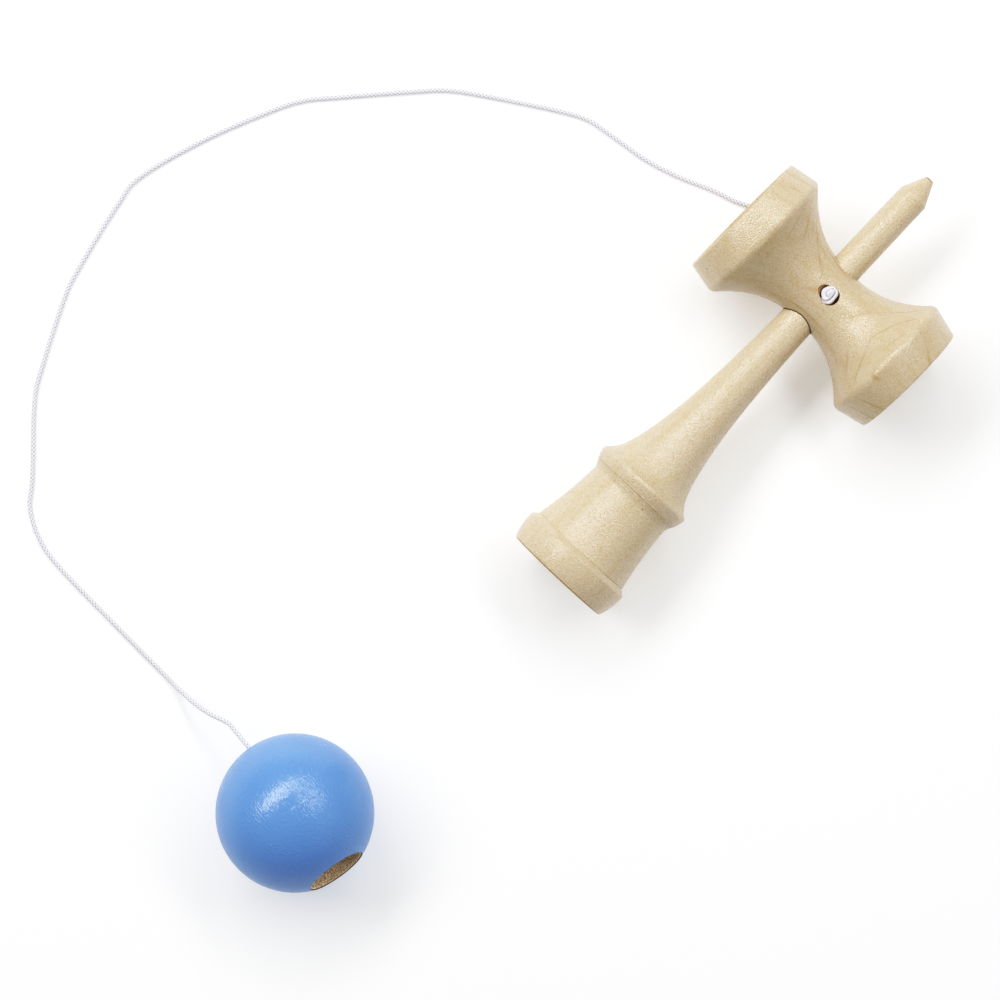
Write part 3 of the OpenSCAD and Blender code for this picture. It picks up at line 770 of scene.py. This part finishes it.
# %% Stretches of the handle's outline
BARREL_STEPS, NECK_STEPS, COVE_STEPS, GRIP_STEPS = 16, 24, 24, 64
GRIP_FIRST = 3  # the steps before it are left to the rounded top of the collar
NECK_POWER, COVE_POWER, GRIP_POWER = 1.6, 1.5, 1.7
COVE_LINES, COVE_LINE_DEPTH = (14, 17, 20), 0.11  # steps of the cove that are scribed
barrel_rise = BASE_RIM_R - BASE_MOUTH_R
barrel_r = (CREST_AT**2 + barrel_rise**2) / (2 * barrel_rise)
barrel_sweep = math.asin(CREST_AT / barrel_r)
barrel_turns = [barrel_sweep * k / BARREL_STEPS for k in range(BARREL_STEPS, -1, -1)]
barrel = [(BASE_RIM_R - barrel_r * (1 - math.cos(turn)), CREST_AT - barrel_r * math.sin(turn))
          for turn in barrel_turns]
rim_end = (BASE_RIM_R, RIM_L)
neck_start = (BASE_NECK_R, RIM_L + STEP_L)
neck = [(BASE_WAIST_R + (BASE_NECK_R - BASE_WAIST_R) * (1 - k / NECK_STEPS) ** NECK_POWER,
         neck_start[1] + (COLLAR_FOOT - neck_start[1]) * k / NECK_STEPS) for k in range(NECK_STEPS + 1)]
cove = [(BASE_WAIST_R + (COLLAR_LOW[0] - BASE_WAIST_R) * (k / COVE_STEPS) ** COVE_POWER
         - (COVE_LINE_DEPTH if k in COVE_LINES else 0),
         COLLAR_FOOT + (COLLAR_LOW[1] - COLLAR_FOOT) * k / COVE_STEPS) for k in range(1, COVE_STEPS - 1)]
grip_length = TAPER_END - COLLAR_TOP[1]
grip_places = [TAPER_END - grip_length * (1 - (k / GRIP_STEPS) ** GRIP_POWER)
               for k in range(GRIP_FIRST, GRIP_STEPS + 1)]
grip = [(grip_r(s), s) for s in grip_places]
print("Radius of the barrel's arc in mm:", round(barrel_r, 1))

# %% Outline of the handle


def groove(at, depth, half=0.2):
    """A fine scribed groove with its middle at a point of the outline."""
    radius, along = at
    return [(radius, along - half), (radius - depth, along), (radius, along + half)]


spike_end = (SPIKE_R, HANDLE_L - TIP_L)
tip_edge = (TIP_R, HANDLE_L)
handle_outline = [
    *dish_points(BASE_MOUTH_R),
    *corner((0, 0), barrel[0], barrel[1], LIP_ROUND, 6),
    *barrel[1:],
    *corner(barrel[-1], rim_end, neck_start, RIM_ROUND),
    *groove(neck_start, STEP_GROOVE),
    *neck[1:],
    *cove,
    *groove(COLLAR_LOW, COLLAR_GROOVE),
    *corner(COLLAR_LOW, COLLAR_CREST, COLLAR_TOP, COLLAR_ROUND, 14),
    *corner(COLLAR_CREST, COLLAR_TOP, grip[0], COLLAR_TOP_ROUND, 4),
    *grip,
    *corner((SPIKE_R, TAPER_END), spike_end, tip_edge, SPIKE_ROUND),
    *corner(spike_end, tip_edge, (0, HANDLE_L), TIP_ROUND),
    (0, HANDLE_L),
]
print("Points in the handle's outline:", len(handle_outline))

# %% [markdown]
# A 2.4 mm hole for the cord goes through the handle where the crosspiece covers it. The bare wood of its
# wall comes from the cutter, which carries that finish into the hole.

# %% Handle
CORD_PLAY = 0.45
CORD_HOLE_R = CORD_R + CORD_PLAY
OVER = 1.0  # how far a cutter stands out of the wood
DRILL_SEGMENTS = 96
LIP_EDGE, TIP_EDGE = 0.4, 0.5  # depth of the end grain that shows


def drill(name, radius, start, end, matrix, end_radius=None):
    """A round cutter along +X of a frame, straight or tapered, in the bare wood that it leaves."""
    last = radius if end_radius is None else end_radius
    outline = [(0, start), (radius, start), (last, end), (0, end)]
    cutter = turned(name, outline, matrix, segments=DRILL_SEGMENTS)
    dress(cutter, bore_wood)
    return cutter


def handle_finish(radius, along):
    """Browner end grain on the edge of the lip and on the blunt tip."""
    lip_edge = along < LIP_EDGE and radius > BASE_MOUTH_R - LIP_W
    return 1 if lip_edge or along > HANDLE_L - TIP_EDGE else 0


handle = turned("handle_turned", handle_outline, in_handle, handle_finish)
dress(handle, handle_wood, edge_wood)
drilled(handle, drill("cord_drill", CORD_HOLE_R, -WAIST_R - OVER, WAIST_R + OVER, in_waist))
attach(handle, "handle")
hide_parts("handle")
print("Handle:", len(handle.data.polygons), "faces")

# %% [markdown]
# The crosspiece is turned in one piece too: two flares grow from the waist by a power of the distance and
# end in rounded shoulders, and short bands narrow to the mouths of the cups. Then three holes are drilled
# across it: the tapered bore for the handle, the counterbore for the knot and the small hole of the cord.
# The counterbore's edge has broken away on one side, where a slope of bare wood leads down to the knot.

# %% Outline of the crosspiece
HALF_L = 34.85
BIG_R, SMALL_R, BIG_AT, SMALL_AT = 22.6, 21.25, 25.3, 24.8
BIG_MOUTH_R, SMALL_MOUTH_R = 20.75, 18.8
SHOULDER_ROUND = 2.5
FLARE_POWER = 2.45
FLARE_SHARE = 0.92  # the rounded shoulder takes the rest of the flare
FLARE_STEPS = 72


def flare_r(y):
    """Radius of the flares at a distance from the middle of the waist."""
    shoulder_r, shoulder_at = (BIG_R, BIG_AT) if y > 0 else (SMALL_R, SMALL_AT)
    return WAIST_R + (shoulder_r - WAIST_R) * (abs(y) / shoulder_at) ** FLARE_POWER


flare_places = [FLARE_SHARE * (-SMALL_AT + (SMALL_AT + BIG_AT) * k / FLARE_STEPS)
                for k in range(FLARE_STEPS + 1)]
flare = [(flare_r(y), y) for y in flare_places]
small_mouth = (SMALL_MOUTH_R, -HALF_L)
small_shoulder = (SMALL_R, -SMALL_AT)
big_shoulder = (BIG_R, BIG_AT)
big_mouth = (BIG_MOUTH_R, HALF_L)
crosspiece_outline = [
    *[(radius, depth - HALF_L) for radius, depth in dish_points(SMALL_MOUTH_R)],
    *corner((0, -HALF_L), small_mouth, small_shoulder, LIP_ROUND, 6),
    *corner(small_mouth, small_shoulder, flare[0], SHOULDER_ROUND, 14),
    *flare,
    *corner(flare[-1], big_shoulder, big_mouth, SHOULDER_ROUND, 14),
    *corner(big_shoulder, big_mouth, (0, HALF_L), LIP_ROUND, 6),
    *[(radius, HALF_L - depth) for radius, depth in reversed(dish_points(BIG_MOUTH_R))],
]
print("Points in the crosspiece's outline:", len(crosspiece_outline))

# %% Crosspiece
HANDLE_PLAY = 0.25  # a gap that draws a thin dark line round the handle
BORE_X = WAIST_R + 3  # half the length of the bore's cutter
KNOT_HOLE_R, KNOT_HOLE_ASIDE, KNOT_SEAT = 2.9, 0.3, 6.869
BROKEN_EDGE_R, BROKEN_EDGE_ASIDE, BROKEN_EDGE_DEPTH = 2.5, 0.3, 1.6
BROKEN_EDGE_TILT = math.radians(42)
in_knot_hole = in_waist @ Matrix.Translation((0, -KNOT_HOLE_ASIDE * MM, 0))
edge_tilt = Matrix.Rotation(BROKEN_EDGE_TILT, 4, "Z")
in_broken_edge = in_waist @ Matrix.Translation((WAIST_R * MM, BROKEN_EDGE_ASIDE * MM, 0)) @ edge_tilt

crosspiece = turned("crosspiece_turned", crosspiece_outline, in_crosspiece)
dress(crosspiece, cross_wood)
drilled(
    crosspiece,
    drill("handle_bore", grip_r(CROSS_AT - BORE_X) + HANDLE_PLAY, -BORE_X, BORE_X, toy,
          grip_r(CROSS_AT + BORE_X) + HANDLE_PLAY),
    drill("knot_bore", KNOT_HOLE_R, KNOT_SEAT, KNOT_SEAT + WAIST_R, in_knot_hole),
    drill("broken_edge", BROKEN_EDGE_R, -BROKEN_EDGE_DEPTH, WAIST_R, in_broken_edge),
    drill("cord_bore", CORD_HOLE_R, -WAIST_R - OVER, WAIST_R + OVER, in_waist),
)
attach(crosspiece, "handle")
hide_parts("crosspiece")
print("Crosspiece:", len(crosspiece.data.polygons), "faces")

# %% [markdown]
# Where the grip wedges into the crosspiece, a thin dark line of painted shade is drawn round it. The line
# runs along the curve where two round bodies cross, which is worked out point by point, and a fine closed
# curve with a round bevel follows it.

# %% Line round the joint
LINE_R = 0.15
LINE_OUT = 0.05  # from the grip's surface to the middle of the line
LINE_POINTS = 96
JOINT_AT = CROSS_AT - 9  # about where the grip enters the crosspiece
ROUNDS = 6  # the crossing of two bent surfaces is found by a few rounds of the same step


def joint_point(angle):
    """A point of the line round the grip, in metres in the toy's frame."""
    radius = grip_r(JOINT_AT) + LINE_OUT
    y, z = radius * math.cos(angle), radius * math.sin(angle)
    x = -WAIST_R
    for _ in range(ROUNDS):
        along_cross = x * math.sin(CROSS_TURN) + y * math.cos(CROSS_TURN) + CROSS_SHIFT
        depth = math.sqrt(flare_r(along_cross) ** 2 - z * z)
        x = (y * math.sin(CROSS_TURN) - depth) / math.cos(CROSS_TURN)
    return Vector((x, y, z)) * MM


# Painted shade: a thin dark tube round the joint.
joint_curve = bpy.data.curves.new("joint_shade_line", "CURVE")
joint_curve.dimensions = "3D"
joint_curve.bevel_depth = LINE_R * MM
joint_spline = joint_curve.splines.new("POLY")
joint_spline.points.add(LINE_POINTS - 1)
for k, point in enumerate(joint_spline.points):
    point.co = (*(toy @ joint_point(2 * math.pi * k / LINE_POINTS)), 1)
joint_spline.use_cyclic_u = True
joint_shade_line = new_object("joint_shade_line", joint_curve)
dress(joint_shade_line, edge_painted_shade)
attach(joint_shade_line, "handle")
print("Line round the joint:", LINE_POINTS, "points")

# %% [markdown]
# The ball is turned as a ring: outside round the sphere, over a small bevel into the wide hole for the
# spike, down to the seat of the bead and out through the cord's hole at the back. The paint ends at
# the bevel, and the hole shows bare wood.

# %% Outline of the ball
HOLE_R, HOLE_BEVEL, HOLE_L = 8.7, 0.5, 25.6
SEAT_R, SEAT_L = 5, 7
DRILL_ANGLE = math.radians(59)  # half the angle of a drill's point
BALL_STEPS, BEVEL_STEPS, HOLE_STEPS = 96, 4, 8
mouth_at = math.sqrt(BALL_R**2 - (HOLE_R + HOLE_BEVEL) ** 2)
hole_end = mouth_at - HOLE_BEVEL - HOLE_L
seat_top = hole_end - (HOLE_R - SEAT_R) / math.tan(DRILL_ANGLE)
seat_end = seat_top - SEAT_L
drill_end = seat_end - (SEAT_R - CORD_HOLE_R) / math.tan(DRILL_ANGLE)


def sphere_points(radius, hole, mouth, steps):
    """The outside of a sphere from a hole at its back to a hole at its front."""
    start, end = math.asin(hole / radius), math.pi - math.asin(mouth / radius)
    angles = [start + (end - start) * k / steps for k in range(steps + 1)]
    return [(radius * math.sin(angle), -radius * math.cos(angle)) for angle in angles]


bevel = [HOLE_BEVEL * k / BEVEL_STEPS for k in range(1, BEVEL_STEPS + 1)]
hole = [HOLE_L * k / HOLE_STEPS for k in range(1, HOLE_STEPS + 1)]
ball_outline = [
    *sphere_points(BALL_R, CORD_HOLE_R, HOLE_R + HOLE_BEVEL, BALL_STEPS),
    *[(HOLE_R + HOLE_BEVEL - depth, mouth_at - depth) for depth in bevel],
    *[(HOLE_R, mouth_at - HOLE_BEVEL - depth) for depth in hole],
    (SEAT_R, seat_top),
    (SEAT_R, seat_end),
    (CORD_HOLE_R, drill_end),
]
print("Points in the ball's outline:", len(ball_outline))

# %% Ball and its bead
SKIN = 0.02  # flat faces between the points of the outline lie this little inside the sphere, or less
BEAD_R, BEAD_AT, BEAD_PLAY = 3.6, -12.203, 0.1
BEAD_STEPS, BEAD_SEGMENTS = 32, 64


def ball_finish(radius, along):
    """Paint on the sphere, painted shade on the outer half of the bevel and bare wood in the holes."""
    if math.hypot(radius, along) > BALL_R - SKIN:
        return 0
    return 2 if radius > HOLE_R + HOLE_BEVEL / 2 else 1


ball = turned("ball_turned", ball_outline, in_ball, finish_of=ball_finish)
dress(ball, ball_paint, ball_wood_painted_light, edge_painted_shade)
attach(ball, "ball")
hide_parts("ball")

in_bead = in_ball @ Matrix.Translation((BEAD_AT * MM, 0, 0))
bead_outline = sphere_points(BEAD_R, CORD_R + BEAD_PLAY, CORD_R + BEAD_PLAY, BEAD_STEPS)
bead = turned("bead_turned", bead_outline, in_bead, segments=BEAD_SEGMENTS)
dress(bead, bead_wood)
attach(bead, "bead")
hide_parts("bead")
print("Ball:", len(ball.data.polygons), "faces, bead:", len(bead.data.polygons), "faces")

# %% [markdown]
# The toy lies on a light table of opal acrylic, faintly lit from below as for a cut-out product shot, so
# shadows stay pale. Two long soft boxes meet above the top of the picture, the left one stronger. They
# give the ball its two slanting highlights and the handle its streak, and leave its lower right in shade,
# which a weak panel on the right lifts a little.

# %% Floor
FLOOR_SIDE = 24.0  # metres, so that its edge stays out of low views
TABLE_GLOW = 0.2
floor_mesh = bpy.data.meshes.new("floor")
half_side = FLOOR_SIDE / 2
floor_mesh.from_pydata([(-half_side, -half_side, 0), (half_side, -half_side, 0), (half_side, half_side, 0),
                        (-half_side, half_side, 0)], [], [(0, 1, 2, 3)])
floor = new_object("floor", floor_mesh)
acrylic = new_finish(
    "acrylic_opal_lit", Roughness=0.9, Emission_Strength=TABLE_GLOW, Base_Color=linear("#f6f6f6"),
    Emission_Color=linear("#ffffff"))[0]
dress(floor, acrylic)
print("Side of the floor in m:", FLOOR_SIDE)

# %% Light
BOX_DISTANCE = 1.3
WORLD_STRENGTH = 0.25
# Power in watts, width in metres and the two ends, as directions in the picture: right, up and out of it.
BOXES = {
    "soft_box_left": (7.8, 0.34, (-0.687, 0.056, 0.723), (-0.074, 0.717, 0.693)),
    "soft_box_right": (4.8, 0.24, (0.055, 0.733, 0.678), (0.589, 0.057, 0.805)),
    "fill_panel": (0.6, 0.8, (0.75, 0.1, 0.6), (0.6, -0.6, 0.5)),
}


def seen_from_camera(right, up, towards):
    """A direction given in the picture, as one in the scene."""
    return right * picture_right + up * picture_up + towards * Vector((0, 0, 1))


for name, (power, width, one_end, other_end) in BOXES.items():
    ends = [seen_from_camera(*end) * BOX_DISTANCE for end in (one_end, other_end)]
    back = (ends[0] + ends[1]).normalized()
    along = ends[1] - ends[0]
    long_side = (along - back * along.dot(back)).normalized()
    light = bpy.data.lights.new(name, "AREA")
    light.shape = "RECTANGLE"
    light.size = along.length
    light.size_y = width
    light.energy = power
    box = new_object(name, light)
    turn = Matrix((long_side, back.cross(long_side), back)).transposed().to_4x4()
    box.matrix_world = Matrix.Translation(under_camera + (ends[0] + ends[1]) / 2) @ turn
    print(name, "in m:", round(along.length, 2), "by", width)

world = bpy.data.worlds.new("white_room")
world.use_nodes = True
world.node_tree.nodes["Background"].inputs["Color"].default_value = linear("#ffffff")
world.node_tree.nodes["Background"].inputs["Strength"].default_value = WORLD_STRENGTH
bpy.context.scene.world = world

# %% [markdown]
# A camera doesn't record light in proportion: it lifts the middle tones and rolls off towards white, each
# colour on its own. That takes colour out of the light side of the wood and deepens it in the shade. The
# Standard view transform has no such roll-off, so a curve in the view settings adds it.

# %% Tone of the camera
TONE = [(0.1, 0.065), (0.3, 0.345), (0.5, 0.63), (0.7, 0.83), (0.9, 0.96)]
view = bpy.context.scene.view_settings
view.view_transform = "Standard"
view.use_curve_mapping = True
all_colours = view.curve_mapping.curves[3]
for light_in, light_out in TONE:
    all_colours.points.new(light_in, light_out)
view.curve_mapping.update()
print("Points on the tone curve:", len(all_colours.points))
